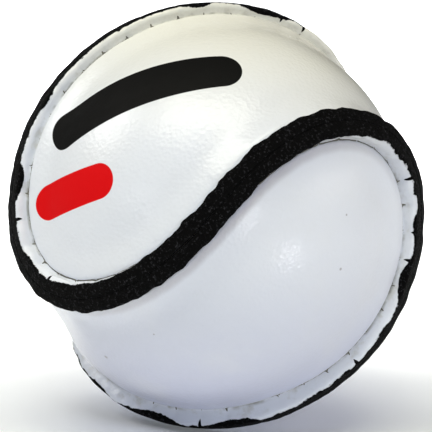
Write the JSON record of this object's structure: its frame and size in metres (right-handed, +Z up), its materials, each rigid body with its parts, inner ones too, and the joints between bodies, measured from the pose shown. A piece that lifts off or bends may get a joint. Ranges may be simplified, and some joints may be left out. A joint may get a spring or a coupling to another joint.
{
  "type": "hurling ball",
  "caption": "Hand-sewn hurling ball: two white leather figure-of-eight panels joined by one raised black-topped seam, over a yarn-wound cork centre.",
  "frame": {"origin": "the centre of the ball, which is the centre of the sphere of the leather and the ball's centroid", "axes": "+Z up as the ball is shown resting; the middle of the front S of the seam faces -Y, raised 12 degrees, and the seam repeats after a half turn about that direction"},
  "size_m": [0.0726, 0.0759, 0.0754],
  "materials": {
    "cover_leather": "white coated leather with fine grain and a soft sheen; the cut edge along the rib is rough and dyed matt black",
    "waxed_thread": "waxed linen thread, dark",
    "latex": "brushed-on cured latex",
    "cotton_yarn": "fine wound cotton yarn",
    "wool_yarn": "thick wound wool yarn",
    "cork": "turned natural cork"
  },
  "bodies": {
    "root": {"cover_panel_upper": "cover_leather", "cover_panel_lower": "cover_leather", "seam_thread_lower": "waxed_thread", "seam_thread_upper": "waxed_thread", "latex_skin": "latex", "outer_winding": "cotton_yarn", "inner_winding": "wool_yarn", "cork_centre": "cork"}
  },
  "joints": []
}
